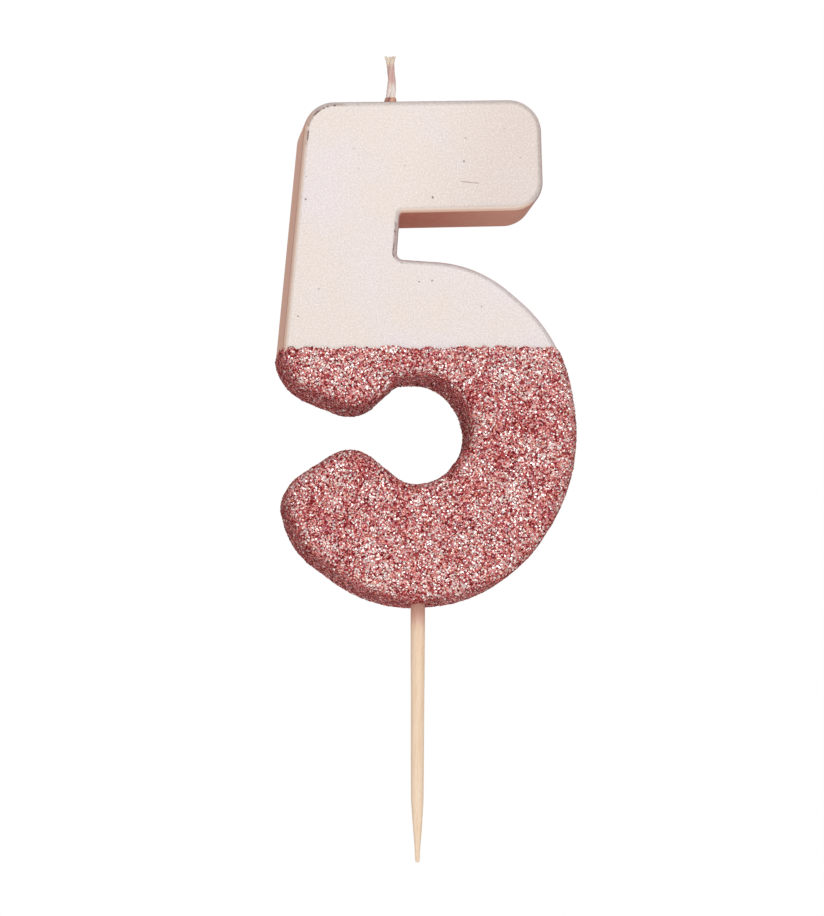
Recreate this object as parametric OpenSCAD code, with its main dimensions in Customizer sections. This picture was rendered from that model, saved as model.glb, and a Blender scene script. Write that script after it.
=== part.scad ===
// Number birthday candle: a cast wax "5", lacquered, dipped in glitter, with a wick and a cocktail stick.
// Frame: the origin is on the stick's axis, just under the number. +Z is up, and -Y is the front.

/* [Number] */
// Height of the lacquered number, without its glitter
number_h = 77.6; // [60:0.2:100]
// Front-to-back depth of the lacquered number
number_d = 13; // [9:0.2:16]
// Rounding of the front and back edges
edge_r = 1; // [0.4:0.1:1.4]
// Lean of the number on its stick, in degrees, right side up
lean = 2.3; // [0:0.1:4]
// Clear gap between the origin and the number's glitter
foot_gap = 0.25; // [0.1:0.05:1]

/* [Coats] */
// Thickness of the metallic lacquer
lacquer_t = 0.15; // [0.1:0.01:0.25]
// Thickness of the glue under the glitter
glue_t = 0.1; // [0.1:0.01:0.2]
// Thickness of the bed of glitter flakes
glitter_t = 0.3; // [0.2:0.05:0.6]
// Height of the dip line above the origin, on the stick's axis
dip_z = 39.4; // [30:0.1:44]
// Slope of the dip line, in degrees, right side up
dip_slope = 1.5; // [0:0.1:3]

/* [Wick] */
// Where the wick leaves the number's top, across from the stick's axis
wick_x = -4.2; // [-6:0.1:6]
// Length of wick that stands out of the number
wick_out = 7.9; // [5:0.1:12]
// Length of wick that is cast into the wax
wick_in = 34; // [15:1:36]
// Tilt of the cast-in wick, in degrees, its foot towards the stem
wick_slant = 5; // [0:0.5:7]
// Radius of one of the wick's three yarns
yarn_r = 0.3; // [0.25:0.01:0.34]
// Height of one full turn of the yarns' twist
yarn_pitch = 5; // [4:0.5:8]

/* [Stick] */
// Radius of the stick
stick_r = 1.05; // [0.9:0.05:1.2]
// Length of the stick's straight wall under the number
stick_wall = 29.5; // [20:0.5:40]
// Length of the stick's lower point
stick_point = 9.7; // [8:0.1:16]
// Depth that the stick is set into the wax
stick_in = 15; // [10:0.5:16]

/* [Hidden] */

outline_h = 77.6;                   // height that the corners below are drawn at
arc_step = 12;                      // degrees between the points of a rounded corner
edge_fn = 8;                        // facets round the ball that rounds the edges, its poles flat
coat_t = glue_t + glitter_t;
foot_z = foot_gap + coat_t;         // the lacquered number's lowest point
body_w = 50;                        // wider than the number on either side of the stick

yarn_helix = yarn_r * 1.22;         // three touching yarns lie this far off the wick's axis
yarn_sides = 6;
yarn_step = yarn_pitch / 10;
wick_r = yarn_r + yarn_helix;
bore_r = wick_r + 0.03;
wick_bow = wick_out * tan(wick_slant) / PI;
wick_z = (foot_z + number_h) / cos(lean) + wick_x * tan(lean);
collar_h = 1;                       // lacquer pooled round the wick's foot
collar_r = 1.05;

stick_tip_r = 0.3;
stick_top_r = 0.4;

// Corners of the number's front, clockwise from the top left: across, up from the foot, and radius
corners = [
    [-14.9, 77.6, 5],               // bar, top left
    [21.7, 77.6, 5],                // bar, top right
    [21.5, 59.9, 4.9],              // bar, lower right
    [-1, 59.8, 0.5],                // bar meets stem
    [-1.8, 52.7, 1],                // stem meets bowl
    [10.8, 51.6, 22],               // bowl, outside, down its right-hand side
    [23.4, 40.1, 26],
    [26, 19.2, 29],
    [13.5, 1.1, 22],                // bowl, underside
    [-5.9, -0.7, 21],
    [-18.7, 9.4, 12],
    [-20.4, 17.7, 4.2],             // terminal, its blunt end
    [-9.7, 24.2, 5],                // terminal, its shoulder
    [-1.5, 17.1, 5.5],               // bowl, inside, from the bottom up
    [4.2, 18.05, 8],
    [9.45, 24.3, 7.1],
    [8.4, 30.5, 9.6],
    [4.4, 34.7, 6.7],
    [-1.5, 34.8, 2.8],
    [-7.8, 29.3, 5.2],              // stem, the tip of its foot
    [-17.4, 33.4, 8.3],             // stem, the underside of its foot
    [-20.2, 37.6, 6.6]              // stem, its outer heel
];

function unit(v) = v / norm(v);
function flat(c) = [c.x, c.y];
function turned(v, a) = [v.x * cos(a) - v.y * sin(a), v.x * sin(a) + v.y * cos(a)];

// The arc that rounds corner p, between its neighbours a and b
function rounded(a, p, b, r) =
    let (
        u = unit(a - p),
        w = unit(b - p),
        half = acos(u * w) / 2,
        run = min(r / tan(half), norm(a - p) / 2, norm(b - p) / 2),
        middle = p + unit(u + w) * run / cos(half),
        start = p + u * run - middle,
        end = p + w * run - middle,
        turn = (180 - 2 * half) * sign(start.x * end.y - start.y * end.x),
        steps = max(2, ceil(abs(turn) / arc_step))
    )
    [for (i = [0:steps]) middle + turned(start, turn * i / steps)];

function outline(c, k) =
    let (n = len(c))
    [for (i = [0:n - 1])
        each rounded(k * flat(c[(i + n - 1) % n]), k * flat(c[i]), k * flat(c[(i + 1) % n]), k * c[i].z)];

// The wick's middle line: straight in the wax, and one gentle bow above it
function wick_at(t) =
    t < 0
        ? [wick_x + t * sin(wick_slant), 0, wick_z + t * cos(wick_slant)]
        : [wick_x + wick_bow * sin(180 * t / wick_out), 0, wick_z + t];

function yarn_ring(t, phase) =
    let (turn = 360 * t / yarn_pitch + phase)
    [for (i = [0:yarn_sides - 1])
        wick_at(t)
            + yarn_helix * [cos(turn), sin(turn), 0]
            + yarn_r * [cos(turn + 360 * i / yarn_sides), sin(turn + 360 * i / yarn_sides), 0]];

// The lacquered number, grown all over by a coat's thickness, or shrunk by it
module number_form(grow) {
    rotate([0, -lean, 0])
        translate([0, 0, foot_z])
            rotate([90, 0, 0])
                minkowski() {
                    linear_extrude(number_d - 2 * edge_r, center = true)
                        offset(delta = -edge_r)
                            polygon(outline(corners, number_h / outline_h));
                    sphere(r = (edge_r + grow) / cos(180 / edge_fn), $fn = edge_fn);
                }
}

module below_dip() {
    rotate([0, -dip_slope, 0])
        translate([-body_w, -body_w, -body_w])
            cube([2 * body_w, 2 * body_w, body_w + dip_z]);
}

module stick_form() {
    rotate_extrude($fn = 48)
        polygon([
            [0, -stick_wall - stick_point],
            [stick_tip_r, -stick_wall - stick_point],
            [stick_r, -stick_wall],
            [stick_r, 0],
            [stick_top_r, foot_z + stick_in],
            [0, foot_z + stick_in]
        ]);
}

module wick_bore() {
    translate([wick_x, 0, wick_z])
        rotate([0, wick_slant, 0])
            translate([0, 0, -wick_in])
                cylinder(r = bore_r, h = wick_in + 2 * collar_h, $fn = 32);
}

module wick_collar() {
    translate([wick_x, 0, wick_z - lacquer_t])
        cylinder(r1 = collar_r, r2 = bore_r + 0.05, h = collar_h + lacquer_t, $fn = 32);
}

// A coat on the dipped part of the number, between two distances out from the lacquer
module dipped_coat(inner, outer) {
    difference() {
        intersection() {
            number_form(outer);
            below_dip();
        }
        number_form(inner);
        stick_form();
    }
}

module wick_yarn(phase) {
    rings = ceil((wick_in + wick_out) / yarn_step);
    step = (wick_in + wick_out) / rings;
    last = rings * yarn_sides;
    polyhedron(
        points = [for (k = [0:rings]) each yarn_ring(k * step - wick_in, phase)],
        faces = concat(
            [[for (i = [0:yarn_sides - 1]) i]],
            [for (k = [0:rings - 1], i = [0:yarn_sides - 1])
                let (a = k * yarn_sides + i, b = k * yarn_sides + (i + 1) % yarn_sides)
                each [[a, a + yarn_sides, b], [b, a + yarn_sides, b + yarn_sides]]],
            [[for (i = [0:yarn_sides - 1]) last + yarn_sides - 1 - i]]
        )
    );
}

module wax_body() {
    color("#f2dcd3")
        difference() {
            number_form(-lacquer_t);
            stick_form();
            wick_bore();
        }
}

module lacquer_coat() {
    color("#e3ccc6")
        difference() {
            union() {
                number_form(0);
                wick_collar();
            }
            number_form(-lacquer_t);
            stick_form();
            wick_bore();
        }
}

module glue_coat() {
    color("#efe6dd")
        dipped_coat(0, glue_t);
}

module glitter_coat() {
    color("#b9737a")
        dipped_coat(glue_t, coat_t);
}

module wick_yarn_1() {
    color("#e8d8d0")
        wick_yarn(0);
}

module wick_yarn_2() {
    color("#e8d8d0")
        wick_yarn(120);
}

module wick_yarn_3() {
    color("#e8d8d0")
        wick_yarn(240);
}

module stick() {
    color("#efd9b4")
        stick_form();
}

wax_body();
lacquer_coat();
glue_coat();
glitter_coat();
wick_yarn_1();
wick_yarn_2();
wick_yarn_3();
stick();
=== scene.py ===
import math
import random

import bpy
from mathutils import Matrix, Vector


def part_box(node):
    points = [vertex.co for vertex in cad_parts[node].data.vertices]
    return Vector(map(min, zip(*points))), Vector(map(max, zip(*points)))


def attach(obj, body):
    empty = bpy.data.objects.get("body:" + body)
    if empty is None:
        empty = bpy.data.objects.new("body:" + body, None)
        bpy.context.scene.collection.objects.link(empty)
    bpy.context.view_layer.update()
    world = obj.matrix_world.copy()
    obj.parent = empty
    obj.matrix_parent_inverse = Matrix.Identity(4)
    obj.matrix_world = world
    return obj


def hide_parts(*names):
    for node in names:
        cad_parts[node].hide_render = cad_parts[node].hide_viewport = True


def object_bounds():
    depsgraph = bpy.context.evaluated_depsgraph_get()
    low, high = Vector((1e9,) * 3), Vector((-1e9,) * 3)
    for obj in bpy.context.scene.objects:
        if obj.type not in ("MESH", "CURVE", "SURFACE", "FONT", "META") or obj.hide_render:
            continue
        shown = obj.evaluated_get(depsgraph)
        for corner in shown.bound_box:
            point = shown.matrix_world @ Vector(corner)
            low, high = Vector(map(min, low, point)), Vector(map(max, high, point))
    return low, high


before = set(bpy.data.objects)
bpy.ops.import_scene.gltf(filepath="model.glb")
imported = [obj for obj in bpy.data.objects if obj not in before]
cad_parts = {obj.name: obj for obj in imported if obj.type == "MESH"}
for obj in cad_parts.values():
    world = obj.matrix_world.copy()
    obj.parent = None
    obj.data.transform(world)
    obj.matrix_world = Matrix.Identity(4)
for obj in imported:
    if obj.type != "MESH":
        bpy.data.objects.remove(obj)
cadBox = [list(corner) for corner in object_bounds()]
mm = 0.001
mergeGap = 0.002 * mm                   # corners nearer than this become one


def deselect():
    if bpy.context.object and bpy.context.object.mode != "OBJECT":
        bpy.ops.object.mode_set(mode="OBJECT")
    bpy.ops.object.select_all(action="DESELECT")


def pick(*objects):
    deselect()
    for item in objects:
        item.select_set(True)
    bpy.context.view_layer.objects.active = objects[-1]


def named(name):
    item = bpy.context.object
    item.name = name
    item.data.name = name
    return item


def applyModifiers(item):
    pick(item)
    for modifier in list(item.modifiers):
        bpy.ops.object.modifier_apply(modifier=modifier.name)


def settle(item):  # the place goes into the mesh, and the object back to the origin
    pick(item)
    bpy.ops.object.transform_apply(location=True, rotation=True, scale=True)


def cleanUp(item):
    pick(item)
    bpy.ops.object.mode_set(mode="EDIT")
    bpy.ops.mesh.select_all(action="SELECT")
    bpy.ops.mesh.remove_doubles(threshold=mergeGap)
    bpy.ops.mesh.normals_make_consistent(inside=False)
    bpy.ops.object.mode_set(mode="OBJECT")


def copyOf(item, name):
    pick(item)
    bpy.ops.object.duplicate()
    return named(name)


def smooth(item, degrees):
    pick(item)
    bpy.ops.object.shade_smooth_by_angle(angle=math.radians(degrees))


def keepFlatsFlat(item):  # the large faces set the shading, and the rounded edges bend to them
    weighted = item.modifiers.new("weighted", "WEIGHTED_NORMAL")
    weighted.keep_sharp = True
    weighted.weight = 90                # out of 100
    applyModifiers(item)


def meshOf(curveObject, name):
    pick(curveObject)
    bpy.ops.object.convert(target="MESH")
    return named(name)


class Wire:
    def __init__(self, tree, socket):
        self.tree = tree
        self.socket = socket

    def math(self, operation, *others):
        return makeNode(self.tree, "ShaderNodeMath", {"operation": operation}, [self, *others])

    def __add__(self, other):
        return self.math("ADD", other)

    def __radd__(self, other):
        return self.math("ADD", other)

    def __sub__(self, other):
        return self.math("SUBTRACT", other)

    def __rsub__(self, other):
        return makeNode(self.tree, "ShaderNodeMath", {"operation": "SUBTRACT"}, [other, self])

    def __mul__(self, other):
        return self.math("MULTIPLY", other)

    def __rmul__(self, other):
        return self.math("MULTIPLY", other)

    def __pow__(self, other):
        return self.math("POWER", other)

    def __abs__(self):
        return self.math("ABSOLUTE")

    def above(self, edge, blur):  # 0 under edge - blur, 1 over edge + blur
        settings = {"interpolation_type": "SMOOTHSTEP", "clamp": True}
        values = {"Value": self, "From Min": edge - blur, "From Max": edge + blur}
        return makeNode(self.tree, "ShaderNodeMapRange", settings, values)

    def below(self, edge, blur):
        return 1 - self.above(edge, blur)

    def axis(self, name):
        return makeNode(self.tree, "ShaderNodeSeparateXYZ", {}, [self], name)


def makeNode(tree, kind, settings, values, output=0):
    node = tree.nodes.new(kind)
    stops = settings.pop("stops", None)
    for key, value in settings.items():
        setattr(node, key, value)
    if stops:
        ramp = node.color_ramp
        while len(ramp.elements) < len(stops):
            ramp.elements.new(1)
        for element, (place, colour) in zip(ramp.elements, stops):
            element.position = place
            element.color = colour
    pairs = values.items() if isinstance(values, dict) else enumerate(values)
    for key, value in pairs:
        if isinstance(value, Wire):
            tree.links.new(value.socket, node.inputs[key])
        elif value is not None:
            node.inputs[key].default_value = value
    return Wire(tree, node.outputs[output])


def rgb(code):  # a colour as a painter names it, made linear
    parts = [int(code[k:k + 2], 16) / 255 for k in (1, 3, 5)]
    linear = [p / 12.92 if p <= 0.04045 else ((p + 0.055) / 1.055) ** 2.4 for p in parts]
    return (*linear, 1)


def mixed(tree, share, low, high):
    node = tree.nodes.new("ShaderNodeMix")
    node.data_type = "RGBA"
    for index, value in ((0, share), (6, low), (7, high)):
        if isinstance(value, Wire):
            tree.links.new(value.socket, node.inputs[index])
        else:
            node.inputs[index].default_value = value
    return Wire(tree, node.outputs[2])


def newMaterial(name, plain):
    material = bpy.data.materials.new(name)
    material.use_nodes = True
    tree = material.node_tree
    shader = tree.nodes["Principled BSDF"]
    for key, value in plain.items():
        shader.inputs[key].default_value = value
    return material, tree, shader


def feed(tree, shader, **sockets):
    for key, wire in sockets.items():
        tree.links.new(wire.socket, shader.inputs[key.replace("_", " ")])


def objectPlace(tree):
    return makeNode(tree, "ShaderNodeTexCoord", {}, {}, "Object")


def inMillimetres(place, axis):
    return place.axis(axis) * 1000


def stretched(tree, place, scale):
    return makeNode(tree, "ShaderNodeMapping", {}, {"Vector": place, "Scale": scale})


def noise(tree, place, size, detail=3, roughness=0.55):  # size is the width of one patch in millimetres
    values = {"Vector": place, "Scale": 1 / (size * mm), "Detail": detail, "Roughness": roughness}
    return makeNode(tree, "ShaderNodeTexNoise", {}, values)


def cells(tree, place, size, output):
    values = {"Vector": place, "Scale": 1 / (size * mm)}
    return makeNode(tree, "ShaderNodeTexVoronoi", {"feature": "F1"}, values, output)


def bump(tree, height, distance, strength):  # distance is in millimetres
    values = {"Strength": strength, "Distance": distance * mm, "Height": height}
    return makeNode(tree, "ShaderNodeBump", {}, values)


def ramp(tree, share, *stops):
    settings = {"stops": [(place, rgb(code)) for place, code in stops]}
    return makeNode(tree, "ShaderNodeValToRGB", settings, [share])


lookSettings = {
    "azimuth": -6.8,                    # degrees, from a little to the left
    "elevation": -8.23,                 # and from a little below
    "distance": 0.6295,                 # metres
    "lens": 160,
    "aimOffset": (-2.0 * mm, 0, -0.24 * mm),
}


def addCamera():
    low, high = (Vector(corner) for corner in cadBox)
    aim = (low + high) / 2 + Vector(lookSettings["aimOffset"])
    a = math.radians(lookSettings["azimuth"])
    e = math.radians(lookSettings["elevation"])
    back = Vector((math.sin(a) * math.cos(e), -math.cos(a) * math.cos(e), math.sin(e)))
    data = bpy.data.cameras.new("camera")
    data.lens = lookSettings["lens"]
    data.clip_start = 0.01
    data.clip_end = 100
    camera = bpy.data.objects.new("camera", data)
    bpy.context.collection.objects.link(camera)
    camera.location = aim + back * lookSettings["distance"]
    camera.rotation_euler = (-back).to_track_quat("-Z", "Y").to_euler()
    bpy.context.scene.camera = camera


addCamera()
print("camera placed")

numberForm = {
    "depth": 13 * mm,
    "lean": 2.3,                        # degrees, right side up
    "arcStep": 3,                       # degrees between the points of a rounded corner
    "corners": [                        # across, up from the foot, radius, in millimetres
        (-14.9, 77.6, 5), (21.7, 77.6, 5), (21.5, 59.9, 4.9),           # bar
        (-1, 59.8, 0.5), (-1.8, 52.7, 1),                               # notch
        (10.8, 51.6, 22), (23.4, 40.1, 26), (26, 19.2, 29),             # bowl, outside
        (13.5, 1.1, 22), (-5.9, -0.7, 21), (-18.7, 9.4, 12),
        (-20.4, 17.7, 4.2), (-9.7, 24.2, 5),                            # terminal
        (-1.5, 17.1, 5.5), (4.2, 18.05, 8), (9.45, 24.3, 7.1),          # bowl, inside
        (8.4, 30.5, 9.6), (4.4, 34.7, 6.7), (-1.5, 34.8, 2.8),
        (-7.8, 29.3, 5.2), (-17.4, 33.4, 8.3), (-20.2, 37.6, 6.6),      # stem's foot
    ],
}


def roundedCorner(before, corner, after, radius):
    toBefore = (before - corner).normalized()
    toAfter = (after - corner).normalized()
    half = toBefore.angle(toAfter) / 2
    longest = min((before - corner).length, (after - corner).length) / 2
    run = min(radius / math.tan(half), longest)
    middle = corner + (toBefore + toAfter).normalized() * run / math.cos(half)
    start = corner + toBefore * run - middle
    end = corner + toAfter * run - middle
    turn = -start.angle_signed(end)
    steps = max(4, math.ceil(abs(math.degrees(turn)) / numberForm["arcStep"]))
    return [middle + Matrix.Rotation(turn * k / steps, 2) @ start for k in range(steps + 1)]


def outlinePoints():
    corners = [Vector((x, z)) * mm for x, z, radius in numberForm["corners"]]
    points = []
    for k, (x, z, radius) in enumerate(numberForm["corners"]):
        after = corners[(k + 1) % len(corners)]
        points += roundedCorner(corners[k - 1], corners[k], after, radius * mm)
    return points


def numberSolid(name, grow, edge, edgeSteps):
    # a filled flat curve, given its depth and its rounded edges, stood up and leaned
    points = outlinePoints()
    curve = bpy.data.curves.new(name, "CURVE")
    curve.dimensions = "2D"
    curve.fill_mode = "BOTH"
    curve.extrude = numberForm["depth"] / 2 + grow - edge
    curve.bevel_depth = edge
    curve.bevel_resolution = edgeSteps
    curve.offset = grow - edge
    line = curve.splines.new("POLY")
    line.points.add(len(points) - 1)
    for place, point in zip(line.points, points):
        place.co = (point.x, point.y, 0, 1)
    line.use_cyclic_u = True
    item = bpy.data.objects.new(name, curve)
    bpy.context.collection.objects.link(item)
    solid = meshOf(item, name)
    solid.rotation_euler = (math.radians(90), math.radians(-numberForm["lean"]), 0)
    settle(solid)
    cleanUp(solid)
    return solid


def footHeight():
    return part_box("lacquer_coat")[0][2]


def liftToFoot(item, grow):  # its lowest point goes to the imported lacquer's own, less what it is grown by
    low = min(vertex.co.z for vertex in item.data.vertices)
    item.location.z = footHeight() - grow - low
    settle(item)


dip = {
    "height": 39.4 * mm,                # of the glitter's upper edge, on the stick's axis
    "slope": 1.5,                       # degrees, right side up
}


def dipHeightAt(x):
    return dip["height"] + x * math.tan(math.radians(dip["slope"]))


def cutAtDip(item, above, keepBelow, fill=True):  # above is how far the cut lies over the dip line
    slope = math.radians(dip["slope"])
    up = (-math.sin(slope), 0, math.cos(slope))
    pick(item)
    bpy.ops.object.mode_set(mode="EDIT")
    bpy.ops.mesh.select_all(action="SELECT")
    bpy.ops.mesh.bisect(
        plane_co=(0, 0, dip["height"] + above), plane_no=up, use_fill=fill,
        clear_outer=keepBelow, clear_inner=not keepBelow,
    )
    bpy.ops.object.mode_set(mode="OBJECT")


def combine(item, other, operation):  # other is used up
    joiner = item.modifiers.new("joiner", "BOOLEAN")
    joiner.operation = operation
    joiner.solver = "EXACT"
    joiner.object = other
    applyModifiers(item)
    bpy.data.objects.remove(other)


def finish(item, material, slotName, *nodes):
    item.data.materials.clear()
    item.data.materials.append(material)
    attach(item, "root")
    if nodes:
        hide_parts(*nodes)


# the stick, from the tip up: height and radius in millimetres
stick = {
    "rings": [
        (-39.1, 0.27), (-38.9, 0.33), (-37.8, 0.39), (-36.6, 0.45), (-35, 0.59), (-33.5, 0.71),
        (-32, 0.81), (-30.8, 0.885), (-29.8, 0.975), (-28.4, 1), (-25.3, 1.01), (-22, 1.03), (-19, 1.045),
        (-16, 1.045), (-12.8, 1.07), (-9.7, 1.09), (-6.6, 1.11), (-3.5, 1.14), (0, 1.155), (1, 1.12),
        (15.6, 0.4),
    ],
    "sides": 16,
    "lean": 0.12,                       # how far the top stands to the right of the tip
    "tipDepth": 39.2,                   # where that starts
    "wander": 0.03,                     # how far a ring strays sideways
    "comeBack": 0.7,                    # and how much of that is taken back
    "oval": 0.015,                      # how far a ring is from round
    "seed": 11,
    "wood": "#fbe6c9",
    "late": "#edcfa9",
    "early": "#ffefd8",
    "fleck": "#bd8f64",
    "stain": "#d9a296",
    "stainFrom": -4.6,                  # the glitter's colour bleeds down the wood from the number
    "stainTo": -0.8,
}


def stickSolid(name, grow, plain):  # plain leaves out the wandering, for the socket
    chance = random.Random(stick["seed"])
    deselect()
    height, radius = stick["rings"][0]
    bpy.ops.mesh.primitive_circle_add(
        vertices=stick["sides"], radius=(radius + grow) * mm, fill_type="NGON", location=(0, 0, height * mm),
    )
    item = named(name)
    settle(item)
    bpy.ops.object.mode_set(mode="EDIT")
    bpy.ops.mesh.select_all(action="SELECT")
    for nextHeight, nextRadius in stick["rings"][1:]:
        share = (nextRadius + grow) / (radius + grow)
        stray = [0, 0] if plain else [chance.uniform(-1, 1) * stick["wander"] * mm for k in range(2)]
        squeeze = 1 if plain else 1 + chance.uniform(-1, 1) * stick["oval"]
        bpy.ops.mesh.extrude_region_move(
            TRANSFORM_OT_translate={"value": (stray[0], stray[1], (nextHeight - height) * mm)},
        )
        bpy.ops.transform.resize(
            value=(share * squeeze, share / squeeze, 1), center_override=(0, 0, nextHeight * mm),
        )
        bpy.ops.transform.translate(value=(-stray[0] * stick["comeBack"], -stray[1] * stick["comeBack"], 0))
        height, radius = nextHeight, nextRadius
    bpy.ops.mesh.select_all(action="SELECT")
    bpy.ops.mesh.normals_make_consistent(inside=False)
    bpy.ops.object.mode_set(mode="OBJECT")
    return item


def stickMaterial():
    plain = {"Metallic": 0, "IOR": 1.45, "Specular IOR Level": 0.25}
    material, tree, shader = newMaterial("birchStick", plain)
    place = objectPlace(tree)
    grain = noise(tree, stretched(tree, place, (1, 1, 0.035)), 0.22, 4, 0.6)
    band = noise(tree, stretched(tree, place, (1, 1, 0.06)), 1.1, 2, 0.5)
    colour = mixed(tree, band.above(0.5, 0.2), rgb(stick["wood"]), rgb(stick["early"]))
    colour = mixed(tree, grain.above(0.56, 0.14) * 0.5, colour, rgb(stick["late"]))
    pores = noise(tree, stretched(tree, place, (1, 1, 0.12)), 0.14, 2, 0.6).above(0.7, 0.05)
    colour = mixed(tree, pores * 0.4, colour, rgb(stick["fleck"]))
    height = inMillimetres(place, "Z") + noise(tree, stretched(tree, place, (1, 1, 0.1)), 0.5, 3) * 3 - 1.5
    middle = (stick["stainFrom"] + stick["stainTo"]) / 2
    stained = height.above(middle, (stick["stainTo"] - stick["stainFrom"]) / 2)
    colour = mixed(tree, stained * 0.65, colour, rgb(stick["stain"]))
    roughness = 0.55 + grain * 0.2
    feed(tree, shader, Base_Color=colour, Roughness=roughness, Normal=bump(tree, grain - pores, 0.03, 0.6))
    return material


def buildStick():
    item = stickSolid("birchStick", 0, False)
    for vertex in item.data.vertices:
        vertex.co.x += stick["lean"] * mm * (1 + vertex.co.z / (stick["tipDepth"] * mm))
    item.modifiers.new("round", "SUBSURF").levels = 2
    item.modifiers["round"].render_levels = 2
    applyModifiers(item)
    smooth(item, 45)
    finish(item, stickMaterial(), "stick", "stick")


buildStick()
print("stick done")

# the wick, all in millimetres: heights are along it, from the top of the bar
wick = {
    "across": -4.2,
    "foot": 78.14,
    "inside": 34,
    "outside": 8.6,
    "slant": 5,                         # degrees, inside the wax
    "helix": 0.3,                       # the yarns' distance from the middle line
    "pitch": 16,
    "strands": 7,
    "strandRadius": 0.14,
    "strandHelix": 0.18,                # the strands' distance from their yarn's middle
    "strandPitch": -4.5,
    "ring": 0.3,                        # height between two rings
    "shape": [                          # height, and how wide the twist is there
        (-34, 1), (-0.5, 1), (0, 1.42), (0.8, 1.42), (1.8, 1.38), (3, 1.33), (3.7, 1.22), (4.6, 1.1),
        (5.6, 1.02), (6.6, 1.02), (8.5, 1.32),
    ],
    # height, and how far the middle line bows to the right
    "bow": [(-34, 0), (0, -0.02), (1.5, 0.06), (3, 0.16), (4.5, 0.12), (6, 0.04), (8.5, 0.02)],
    "fray": 0.9,                        # length of the loose ends
    "frayOut": 0.24,                    # how far they stray
    "uneven": 0.55,                     # how much shorter the shortest strand is
    "seed": 5,
    "footStain": "#b98378",
    "waxed": "#fffdf8",
    "stained": "#e6c8c1",
    "cut": "#f6eddb",
    # darker fibres, and painted shade at the wick's left and right sides
    "darkFibreAndPaintedShade": "#b39a94",
}


def between(table, height):  # a smooth reading of a two-column table
    if height <= table[0][0]:
        return table[0][1]
    for (low, first), (high, second) in zip(table, table[1:]):
        if height <= high:
            share = (height - low) / (high - low)
            share = share * share * (3 - 2 * share)
            return first + (second - first) * share
    return table[-1][1]


def wickMiddle(height):
    slant = math.radians(wick["slant"])
    if height < 0:
        return Vector((wick["across"] + height * math.sin(slant), 0, wick["foot"] + height * math.cos(slant)))
    return Vector((wick["across"] + between(wick["bow"], height), 0, wick["foot"] + height))


def strandPoints(yarn, strand, chance):
    top = wick["outside"] - chance.uniform(0, wick["uneven"])
    outward = chance.uniform(0, math.tau)
    stray = chance.uniform(0.2, 1) * wick["frayOut"]
    steps = math.ceil((wick["inside"] + top) / wick["ring"])
    points = []
    for k in range(steps + 1):
        height = -wick["inside"] + (wick["inside"] + top) * k / steps
        width = between(wick["shape"], height)
        turn = math.tau * (height / wick["pitch"] + yarn / 3)
        twist = math.tau * (height / wick["strandPitch"] + strand / wick["strands"])
        point = wickMiddle(height)
        point += Vector((math.cos(turn), math.sin(turn), 0)) * wick["helix"] * width
        point += Vector((math.cos(twist), math.sin(twist), 0)) * wick["strandHelix"] * width
        loose = max(0, 1 - (top - height) / wick["fray"]) ** 1.5
        point += Vector((math.cos(outward), math.sin(outward), 0)) * stray * loose
        points.append((point * mm, width))
    return points


def wickMaterial():
    plain = {"Metallic": 0, "IOR": 1.45, "Specular IOR Level": 0.2, "Roughness": 0.8}
    material, tree, shader = newMaterial("waxedCotton", plain)
    place = objectPlace(tree)
    ragged = noise(tree, place, 0.9, 3, 0.6) * 1.6 - 0.8
    height = inMillimetres(place, "Z") - wick["foot"] + ragged
    fibre = noise(tree, stretched(tree, place, (1, 1, 0.15)), 0.09, 3, 0.6)
    colour = mixed(tree, height.above(1.5, 0.35), rgb(wick["footStain"]), rgb(wick["waxed"]))
    colour = mixed(tree, height.above(4, 0.9), colour, rgb(wick["stained"]))
    colour = mixed(tree, height.above(7.1, 0.4), colour, rgb(wick["cut"]))
    colour = mixed(tree, fibre.above(0.55, 0.15) * 0.22, colour, rgb(wick["darkFibreAndPaintedShade"]))
    # painted shade: darker towards the left and right sides of the twist, in its middle stretch
    paintedSideShade = abs(inMillimetres(place, "X") - wick["across"] - 0.05).above(0.5, 0.2)
    colour = mixed(tree, paintedSideShade * height.above(3, 1) * height.below(7, 0.6) * 0.45, colour, rgb(wick["darkFibreAndPaintedShade"]))
    feed(tree, shader, Base_Color=colour, Normal=bump(tree, fibre, 0.02, 0.5))
    return material


def buildWick():
    chance = random.Random(wick["seed"])
    material = wickMaterial()
    for yarn in range(3):
        curve = bpy.data.curves.new("wickYarn", "CURVE")
        curve.dimensions = "3D"
        curve.bevel_depth = wick["strandRadius"] * mm
        curve.bevel_resolution = 1
        curve.use_fill_caps = True
        for strand in range(wick["strands"]):
            points = strandPoints(yarn, strand, chance)
            line = curve.splines.new("POLY")
            line.points.add(len(points) - 1)
            for place, (point, width) in zip(line.points, points):
                place.co = (*point, 1)
                place.radius = width
        item = bpy.data.objects.new("wickYarn", curve)
        bpy.context.collection.objects.link(item)
        item = meshOf(item, "wickYarn%d" % (yarn + 1))
        smooth(item, 60)
        finish(item, material, "wick", "wick_yarn_%d" % (yarn + 1))


buildWick()
print("wick done")

wax = {
    "grow": -0.15 * mm,
    "edge": 1.8 * mm,
    "colour": "#f2dcd3",
    "deep": "#e6c6ba",
    "boreRadius": 0.76,                 # millimetres, as are the next two
    "boreOver": 3,                      # how far the cutter stands out of the bar
    "socketGap": 0.01,
}


def boreCutter():
    deselect()
    slant = math.radians(wick["slant"])
    depth = wick["inside"] + wax["boreOver"]
    along = Vector((math.sin(slant), 0, math.cos(slant)))
    middle = (wickMiddle(0) + along * (wax["boreOver"] - wick["inside"]) / 2) * mm
    bpy.ops.mesh.primitive_cylinder_add(
        vertices=24, radius=wax["boreRadius"] * mm, depth=depth * mm, location=middle, rotation=(0, slant, 0),
    )
    item = named("bore")
    settle(item)
    return item


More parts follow.
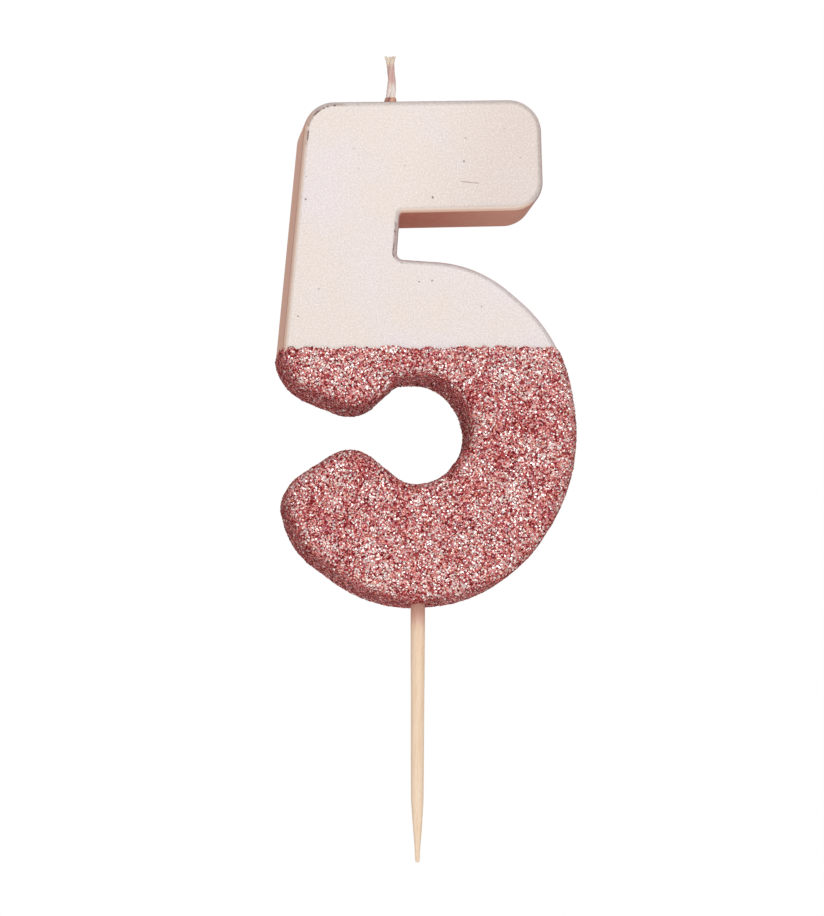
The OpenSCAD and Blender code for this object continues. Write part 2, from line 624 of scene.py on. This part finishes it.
def waxMaterial():
    plain = {
        "Metallic": 0, "IOR": 1.44, "Subsurface Weight": 0.2, "Subsurface Scale": 2 * mm, "Roughness": 0.45,
    }
    material, tree, shader = newMaterial("paleWax", plain)
    place = objectPlace(tree)
    cloud = noise(tree, place, 6, 3)
    colour = mixed(tree, cloud.above(0.5, 0.25), rgb(wax["colour"]), rgb(wax["deep"]))
    feed(tree, shader, Base_Color=colour, Normal=bump(tree, cloud, 0.05, 0.4))
    return material


def buildWax():
    item = numberSolid("waxCasting", wax["grow"], wax["edge"], 3)
    liftToFoot(item, wax["grow"])
    combine(item, stickSolid("socket", wax["socketGap"], True), "DIFFERENCE")
    combine(item, boreCutter(), "DIFFERENCE")
    smooth(item, 40)
    finish(item, waxMaterial(), "wax", "wax_body")


buildWax()
print("wax done")

lacquer = {
    "edge": 1 * mm,
    "edgeSteps": 6,
    "dippedEdge": 1.9 * mm,             # the edge is softer where the glue and the glitter lie on it
    "lap": 0.35 * mm,                   # how far the crisp edge runs down under the glitter
    "overlap": 0.05 * mm,               # how far the two edges run into each other
    # the pool round the wick's foot: height over the bar, and radius in millimetres
    "collar": [(-0.5, 1.6), (0, 1.6), (0.12, 1.42), (0.4, 1.22), (0.9, 1.04), (1.35, 0.94), (1.85, 0.86)],
    "collarSides": 24,
    "spread": 0.5,                      # how much wider it is on its left, at its foot
    "spreadHeight": 1.7,
    "sheen": "#e8bfae",
    "front": "#e6e6e4",
    "frontPink": "#e5e1e4",
    "frontCream": "#e5e0da",
    "frontPaintedShade": "#d9d2cc",            # painted shade, towards the bar's end
    "grainDark": "#c9b6b0",
    "grainPale": "#fffcfa",
    "collarFoot": "#a8746f",
    "collarTan": "#dcb49c",
    "wall": "#ffd8c5",                  # painted reflection: the walls' pinker tint stands in for the metallic lacquer's rosier look at a slant
    # painted shade on the faces turned down, deepest near the stem
    "under": "#b8705f",
    # painted shade where the wall turns into the rounded edge
    "paintedCreaseShade": "#b88272",
    # pale mottle on the walls, and painted light on the lower and left rounded edges
    "mottleAndPaintedRimLight": "#ead3c3",
    # painted highlight along the lower and left rounded edges
    "paintedLowHighlight": "#f4e6da",
    # painted shade along the upper and right rounded edges
    "paintedHighRimShade": "#bfa1a7",
    "chip": "#6a4845",
    "wornRim": "#a98a85",
    # worn places: across, height, reach in millimetres
    "wornCorner": (-15.5, 74.5, 5.5),
    "wornStem": (-4.4, 56, 3.6),
    # pinholes: across, height, radius in millimetres
    "pinholes": [
        (1.6, 63, 0.17), (-18.1, 62.2, 0.15), (-18, 65.8, 0.09), (6.5, 68.8, 0.14), (6.7, 72.5, 0.09),
        (-10.7, 70.4, 0.08), (-0.5, 49.7, 0.12), (1.5, 49.9, 0.12), (9.2, 46, 0.1), (-16, 48.2, 0.1),
        (17.8, 61.6, 0.13), (-19.2, 43.9, 0.12), (15.3, 69.6, 0.08), (12.8, 74.2, 0.07), (-2.7, 67.9, 0.08),
        (-9.9, 67.2, 0.07),
    ],
    "scratch": (7.4, 65.5, 1.4, 0.06),  # across, height, half length, half width
}


def lacquerMaterial():
    plain = {
        "Metallic": 0.3, "IOR": 1.5, "Specular IOR Level": 0.2, "Specular Tint": rgb(lacquer["sheen"]),
        "Coat Weight": 0.06, "Coat Roughness": 0.3,
    }
    material, tree, shader = newMaterial("roseGoldLacquer", plain)
    place = objectPlace(tree)
    normal = makeNode(tree, "ShaderNodeNewGeometry", {}, {}, "Normal")
    across, height, depth = inMillimetres(place, "X"), inMillimetres(place, "Z"), normal.axis("Y")
    facing = abs(depth)
    # faces turned left or down: their rounded edges get painted light, the others painted shade
    low = (normal.axis("X") + normal.axis("Z")).below(-0.05, 0.2)
    # faces turned down, which get painted shade
    under = (normal.axis("Z") * -1).above(0.5, 0.4)
    # the front: slow mauve and cream clouds, and a fine pearl grain
    clouds = noise(tree, place, 13, 2)
    grain = noise(tree, place, 0.27, 2, 0.8)
    coarse = noise(tree, place, 1.1, 2, 0.6)
    front = mixed(tree, clouds.above(0.5, 0.12), rgb(lacquer["frontPink"]), rgb(lacquer["frontCream"]))
    front = mixed(tree, coarse.above(0.5, 0.25) * 0.35, front, rgb(lacquer["front"]))
    # painted shade on the front, darker towards the bar's end
    paintedShadeOnBar = (across - height * 0.25 + 20).above(8, 10) * height.above(58, 4)
    front = mixed(tree, paintedShadeOnBar * 0.7, front, rgb(lacquer["frontPaintedShade"]))
    front = mixed(tree, grain.below(0.44, 0.1) * 0.34, front, rgb(lacquer["grainDark"]))
    front = mixed(tree, grain.above(0.6, 0.1) * 0.55, front, rgb(lacquer["grainPale"]))
    # the walls and the rounded edges, with painted light: a pinker painted tint on the walls, painted shade
    # under the bar, in the crease and along the upper and right edges, painted light and highlight along the
    # lower and left edges, and a pale mottle
    # the painted shade under the bar is deeper near the stem
    deeperShadeNearStem = across.below(7, 9)
    wall = mixed(tree, under * (deeperShadeNearStem * 0.35 + 0.65), rgb(lacquer["wall"]), rgb(lacquer["under"]))
    wall = mixed(tree, coarse.above(0.5, 0.3) * 0.15, wall, rgb(lacquer["mottleAndPaintedRimLight"]))
    # painted shade where the wall turns into the rounded edge
    wall = mixed(tree, facing.above(0.3, 0.14) * 0.7, wall, rgb(lacquer["paintedCreaseShade"]))
    # painted light and a painted highlight on the lower and left rounded edges
    paintedLitEdge = mixed(tree, facing.above(0.5, 0.12), wall, rgb(lacquer["mottleAndPaintedRimLight"]))
    paintedLitEdge = mixed(tree, facing.above(0.84, 0.08), paintedLitEdge, rgb(lacquer["paintedLowHighlight"]))
    # painted shade on the upper and right rounded edges
    paintedShadedEdge = mixed(tree, facing.above(0.14, 0.1), wall, rgb(lacquer["paintedHighRimShade"]))
    paintedShadedEdge = mixed(tree, facing.above(0.56, 0.14), paintedShadedEdge, front)
    edge = mixed(tree, low, paintedShadedEdge, paintedLitEdge)
    colour = mixed(tree, facing.above(0.955, 0.03), edge, front)
    # the lacquer that pooled round the wick's foot
    pooled = abs(across - wick["across"]).below(1.9, 0.3) * height.above(wick["foot"] + 0.15, 0.12)
    blotch = noise(tree, place, 0.7, 2).above(0.5, 0.1)
    pool = mixed(tree, blotch, rgb(lacquer["collarFoot"]), rgb(lacquer["collarTan"]))
    colour = mixed(tree, pooled, colour, pool)
    # worn places and pinholes
    rim = facing.above(0.9, 0.05) * facing.below(0.985, 0.01)
    ahead = depth.below(-0.2, 0.1)
    specks = noise(tree, place, 1, 4, 0.75)
    worn = specks.above(0.66, 0.03) * rim * 0.5
    rubbed = 0
    for x, z, reach in (lacquer["wornCorner"], lacquer["wornStem"]):
        near = ahead * ((across - x) ** 2 + (height - z) ** 2).below((reach * 0.8) ** 2, (reach * 0.4) ** 2)
        worn = worn.math("MAXIMUM", specks.above(0.52, 0.04) * rim * near)
        rubbed = near * facing.above(0.72, 0.1) * facing.below(0.97, 0.02) + rubbed
    colour = mixed(tree, rubbed * coarse.above(0.42, 0.1) * 0.45, colour, rgb(lacquer["wornRim"]))
    holes = 0
    for x, z, radius in lacquer["pinholes"]:
        hole = ((across - x) ** 2 + (height - z) ** 2).below(radius ** 2, 0.4 * radius ** 2)
        holes = hole if holes == 0 else holes.math("MAXIMUM", hole)
    x, z, length, width = lacquer["scratch"]
    drift = abs(height - z + (across - x) * 0.08)
    scratch = abs(across - x).below(length, 0.2) * drift.below(width, 0.03) * specks.above(0.42, 0.05)
    marks = worn.math("MAXIMUM", ahead * (holes * 0.9).math("MAXIMUM", scratch * 0.6))
    colour = mixed(tree, marks * 0.85, colour, rgb(lacquer["chip"]))
    roughness = 0.42 + grain * 0.15
    relief = noise(tree, place, 4, 3) * 0.5 + grain * 0.08 - marks * 0.8
    feed(tree, shader, Base_Color=colour, Roughness=roughness, Normal=bump(tree, relief, 0.06, 0.6))
    return material


def collarSolid():  # lacquer pooled round the wick's foot, a little wider on its left
    deselect()
    lowest, widest = lacquer["collar"][0]
    bpy.ops.mesh.primitive_circle_add(
        vertices=lacquer["collarSides"], radius=widest * mm, fill_type="NGON",
        location=(wick["across"] * mm, 0, (wick["foot"] + lowest) * mm),
    )
    item = named("collar")
    settle(item)
    bpy.ops.object.mode_set(mode="EDIT")
    bpy.ops.mesh.select_all(action="SELECT")
    for (height, radius), (nextHeight, nextRadius) in zip(lacquer["collar"], lacquer["collar"][1:]):
        middle = (wick["across"] * mm, 0, (wick["foot"] + nextHeight) * mm)
        bpy.ops.mesh.extrude_region_move(TRANSFORM_OT_translate={"value": (0, 0, (nextHeight - height) * mm)})
        bpy.ops.transform.resize(value=[nextRadius / radius] * 2 + [1], center_override=middle)
    bpy.ops.mesh.select_all(action="SELECT")
    bpy.ops.mesh.normals_make_consistent(inside=False)
    bpy.ops.object.mode_set(mode="OBJECT")
    for vertex in item.data.vertices:  # the left-hand side runs out further along the bar
        left = max(0, wick["across"] * mm - vertex.co.x)
        low = max(0, 1 - (vertex.co.z / mm - wick["foot"]) / lacquer["spreadHeight"])
        vertex.co.x -= left * lacquer["spread"] * min(1, low)
    return item


def buildLacquer():
    item = numberSolid("lacqueredNumber", 0, lacquer["edge"], lacquer["edgeSteps"])
    liftToFoot(item, 0)
    cutAtDip(item, -lacquer["lap"], False)
    dipped = numberSolid("dippedPart", 0, lacquer["dippedEdge"], lacquer["edgeSteps"])
    liftToFoot(dipped, 0)
    cutAtDip(dipped, lacquer["overlap"] - lacquer["lap"], True)
    combine(item, dipped, "UNION")
    combine(item, collarSolid(), "UNION")
    smooth(item, 40)
    keepFlatsFlat(item)
    finish(item, lacquerMaterial(), "lacquer", "lacquer_coat")


buildLacquer()
print("lacquered number done")

glue = {
    "grow": 0.1 * mm,
    "edge": lacquer["dippedEdge"] + 0.1 * mm,
    "short": 0.5 * mm,                  # how far it ends under the dip line
    "pale": "#d9a8a2",
    "deep": "#b97b77",
}


def glueMaterial():
    plain = {"Metallic": 0, "IOR": 1.47, "Roughness": 0.3}
    material, tree, shader = newMaterial("clearGlue", plain)
    place = objectPlace(tree)
    ripple = noise(tree, place, 1.2, 3)
    colour = mixed(tree, ripple.above(0.5, 0.3), rgb(glue["pale"]), rgb(glue["deep"]))
    feed(tree, shader, Base_Color=colour, Normal=bump(tree, ripple, 0.05, 0.5))
    return material


def buildGlue():
    item = numberSolid("glueFilm", glue["grow"], glue["edge"], 3)
    liftToFoot(item, glue["grow"])
    cutAtDip(item, -glue["short"], True)
    smooth(item, 40)
    finish(item, glueMaterial(), "glue", "glue_coat")


buildGlue()
print("glue done")

glitter = {
    "bedGrow": 0.26 * mm,
    "bedEdge": 1.9 * mm,
    "bedVoxel": 0.4 * mm,
    "lump": 0.16 * mm,
    "lumpSize": 1.6 * mm,
    "dipWave": 1.2 * mm,                # how far the dip's edge wanders up and down
    "dipWaveSize": 1.3 * mm,
    "dipReach": 1.5 * mm,               # how far down the bed that is felt
    "cell": 0.34,                       # millimetres, a flake's width in the bed's pattern
    "bedColours": [
        (0.0, "#5c161a"), (0.25, "#8a3135"), (0.5, "#ab5052"), (0.75, "#cd7b79"), (1.0, "#eeb8b3"),
    ],
    "flakeRadius": 0.185 * mm,
    "flakeRise": 0.045 * mm,
    "flakeSizes": (0.65, 1.3),          # the smallest and the largest, as shares of that
    "tilt": 34,                         # degrees, either way
    "sheen": "#8f3c3c",
    "seed": 7,
    # name, colour, metal, roughness, patchiness as painted glints, flakes to the square millimetre, size,
    # share on the walls as painted shade
    "groups": [
        ("maroon", "#7a1722", 0.1, 0.4, -0.6, 3.3, 1, 1.2),
        ("garnet", "#a2303b", 0.15, 0.35, -0.4, 2, 1, 1.6),
        ("rosewood", "#bf4c52", 0.1, 0.35, -0.4, 2.9, 1, 1.5),
        ("rose", "#e68687", 0.2, 0.3, 0, 2.9, 1, 1.4),
        ("apricot", "#f0a78f", 0.35, 0.25, 0, 1.7, 1, 1),
        ("mauve", "#cf93a5", 0.35, 0.25, 0.2, 1.7, 1, 0.7),
        ("blush", "#ffbcb9", 0.3, 0.28, 0.2, 2.8, 1, 0.8),
        ("petal", "#ffe6da", 0.5, 0.22, 0.6, 2.7, 1.1, 0.3),
        # near-white flakes: real flakes whose white colour paints the glints
        ("frost", "#fffaf8", 0.65, 0.15, 1, 3.5, 1.3, 0.25),
    ],
    "glintPatch": 4.5,                       # millimetres, width of the paler and darker patches: painted glints
}


def bedMaterial():
    sheen = rgb(glitter["sheen"])
    plain = {"Metallic": 0.1, "Roughness": 0.5, "Specular IOR Level": 0.1, "Specular Tint": sheen}
    material, tree, shader = newMaterial("glitterBed", plain)
    place = objectPlace(tree)
    colour = ramp(tree, cells(tree, place, glitter["cell"], "Color").axis("X"), *glitter["bedColours"])
    height = cells(tree, place, glitter["cell"], "Distance")
    feed(tree, shader, Base_Color=colour, Normal=bump(tree, height, 0.1, 0.8))
    return material


def flakeMaterial(name, code, metal, roughness):
    plain = {
        "Base Color": rgb(code), "Metallic": metal, "Roughness": roughness, "Specular IOR Level": 0.15,
        "Specular Tint": rgb(glitter["sheen"]),
    }
    return newMaterial("flake" + name.capitalize(), plain)[0]


def lumpTexture(name, size):
    texture = bpy.data.textures.new(name, "CLOUDS")
    texture.noise_scale = size
    texture.noise_depth = 2
    return texture


def buildBed():
    item = numberSolid("glitterBed", glitter["bedGrow"], glitter["bedEdge"], 4)
    liftToFoot(item, glitter["bedGrow"])
    item.modifiers.new("voxels", "REMESH").voxel_size = glitter["bedVoxel"]
    lumps = item.modifiers.new("lumps", "DISPLACE")
    lumps.texture = lumpTexture("lumps", glitter["lumpSize"])
    lumps.strength = glitter["lump"]
    lumps.mid_level = 0.5
    applyModifiers(item)
    cutAtDip(item, 0, True, fill=False)
    edge = item.vertex_groups.new(name="dipEdge")
    for vertex in item.data.vertices:
        share = max(0, 1 - (dipHeightAt(vertex.co.x) - vertex.co.z) / glitter["dipReach"])
        if share > 0:
            edge.add([vertex.index], share, "REPLACE")
    wander = item.modifiers.new("wander", "DISPLACE")
    wander.texture = lumpTexture("wander", glitter["dipWaveSize"])
    wander.vertex_group = "dipEdge"
    wander.direction = "Z"
    wander.strength = glitter["dipWave"]
    wander.mid_level = 0.5
    applyModifiers(item)
    return item


def buildFlake():
    deselect()
    bpy.ops.mesh.primitive_cone_add(
        vertices=6, radius1=glitter["flakeRadius"], radius2=0, depth=glitter["flakeRise"],
    )
    item = named("flake")
    settle(item)
    return item


def scatterTree(name, flake, glintPatchiness, density, bigness, wallShadeShare, seed):
    tree = bpy.data.node_groups.new(name, "GeometryNodeTree")
    tree.interface.new_socket("Geometry", in_out="INPUT", socket_type="NodeSocketGeometry")
    tree.interface.new_socket("Geometry", in_out="OUTPUT", socket_type="NodeSocketGeometry")
    base = makeNode(tree, "NodeGroupInput", {}, {})
    # paler and darker patches of flakes: painted glints
    paintedGlintPatches = noise(tree, None, glitter["glintPatch"], 2)
    density = (paintedGlintPatches - 0.5) * (4 * glintPatchiness * density / (mm * mm)) + density / (mm * mm)
    # 1 on the front and the back, and 0 on the walls
    flatness = abs(makeNode(tree, "GeometryNodeInputNormal", {}, {}).axis("Y")).above(0.5, 0.3)
    # painted shade: on the walls each group keeps only its share, fewer pale and more dark flakes
    density = density * (flatness * (1 - wallShadeShare) + wallShadeShare)
    spread = makeNode(
        tree, "GeometryNodeDistributePointsOnFaces", {"distribute_method": "RANDOM"},
        {"Mesh": base, "Density": density.math("MAXIMUM", 0), "Seed": seed}, "Points",
    )
    facing = Wire(tree, spread.socket.node.outputs["Rotation"])
    tilt = math.radians(glitter["tilt"])
    turn = makeNode(
        tree, "FunctionNodeRandomValue", {"data_type": "FLOAT_VECTOR"},
        {0: (-tilt, -tilt, 0), 1: (tilt, tilt, math.tau), "Seed": seed + 50},
    )
    turn = makeNode(tree, "FunctionNodeEulerToRotation", {}, [turn])
    facing = makeNode(tree, "FunctionNodeRotateRotation", {"rotation_space": "LOCAL"}, [facing, turn])
    size = tree.nodes.new("FunctionNodeRandomValue")
    size.data_type = "FLOAT"
    size.inputs[2].default_value = glitter["flakeSizes"][0] * bigness
    size.inputs[3].default_value = glitter["flakeSizes"][1] * bigness
    size.inputs["Seed"].default_value = seed + 90
    size = Wire(tree, size.outputs[1])
    shape = makeNode(tree, "GeometryNodeObjectInfo", {}, {"Object": flake}, "Geometry")
    placed = makeNode(
        tree, "GeometryNodeInstanceOnPoints", {},
        {"Points": spread, "Instance": shape, "Rotation": facing, "Scale": size},
    )
    real = makeNode(tree, "GeometryNodeRealizeInstances", {}, [placed])
    out = tree.nodes.new("NodeGroupOutput")
    tree.links.new(real.socket, out.inputs[0])
    return tree


def buildGlitter():
    bed = buildBed()
    flake = buildFlake()
    for k, (name, code, metal, roughness, *amounts) in enumerate(glitter["groups"]):
        item = copyOf(bed, "flakes" + name.capitalize())
        scatter = item.modifiers.new("scatter", "NODES")
        seed = glitter["seed"] + k
        scatter.node_group = scatterTree("scatter" + name.capitalize(), flake, *amounts, seed)
        applyModifiers(item)
        finish(item, flakeMaterial(name, code, metal, roughness), "glitter")
        print("flakes", name, len(item.data.polygons))
    bpy.data.objects.remove(flake)
    smooth(bed, 60)
    finish(bed, bedMaterial(), "glitter", "glitter_coat")


buildGlitter()
print("glitter done")

stageSettings = {
    "floorDrop": 0.5,                   # metres under the stick's tip
    "floorSize": 30,
    "floor": "#f2f0ee",
    "floorGlow": 0.45,                  # only as the camera sees it
    "sky": [(0.0, "#70514a"), (0.42, "#976f69"), (0.6, "#afa19d"), (1.0, "#cecccb")],  # from below to above
    # name, place, size, power and colour
    "lamps": [
        ("key", (0.15, -0.95, 0.4), (0.7, 0.5), 2.6, (1, 1, 1)),
        ("fill", (-0.1, -1.2, 0.1), (1.2, 1.2), 2.6, (1, 1, 1)),
        ("under", (-0.25, -0.33, -0.45), (0.5, 0.3), 0.42, (1, 0.84, 0.8)),
        ("rim", (0.3, 0.8, 0.5), (0.8, 0.5), 2.5, (1, 1, 1)),
    ],
}


def addStage():
    deselect()
    bpy.ops.mesh.primitive_plane_add(size=stageSettings["floorSize"])
    floor = named("floor")
    floor.location.z = cadBox[0][2] - stageSettings["floorDrop"]
    settle(floor)
    plain = {"Roughness": 0.8, "Emission Strength": stageSettings["floorGlow"]}
    plain["Base Color"] = rgb(stageSettings["floor"])
    material, tree, shader = newMaterial("paleFloor", plain)
    seen = makeNode(tree, "ShaderNodeLightPath", {}, {}, "Is Camera Ray")
    feed(tree, shader, Emission_Color=mixed(tree, seen, rgb("#000000"), rgb("#ffffff")))
    floor.data.materials.append(material)


def addLight(name, place, size, power, colour):
    data = bpy.data.lights.new(name, "AREA")
    data.shape = "RECTANGLE"
    data.size, data.size_y = size
    data.energy = power
    data.color = colour
    lamp = bpy.data.objects.new(name, data)
    bpy.context.collection.objects.link(lamp)
    lamp.location = place
    lamp.visible_camera = False
    aim = (Vector(cadBox[0]) + Vector(cadBox[1])) / 2
    lamp.rotation_euler = (aim - Vector(place)).to_track_quat("-Z", "Y").to_euler()


def addWorld():
    world = bpy.data.worlds.new("studio")
    bpy.context.scene.world = world
    world.use_nodes = True
    tree = world.node_tree
    sky = tree.nodes["Background"]
    path = makeNode(tree, "ShaderNodeLightPath", {}, {}, "Is Camera Ray")
    up = makeNode(tree, "ShaderNodeTexCoord", {}, {}, "Generated").axis("Z")
    light = ramp(tree, up * 0.5 + 0.5, *stageSettings["sky"])
    colour = mixed(tree, path, light, (1, 1, 1, 1))  # the camera sees plain white
    tree.links.new(colour.socket, sky.inputs["Color"])


addStage()
addWorld()
for lamp in stageSettings["lamps"]:
    addLight(*lamp)
bpy.context.scene.view_settings.view_transform = "Standard"
print("stage and lights done")
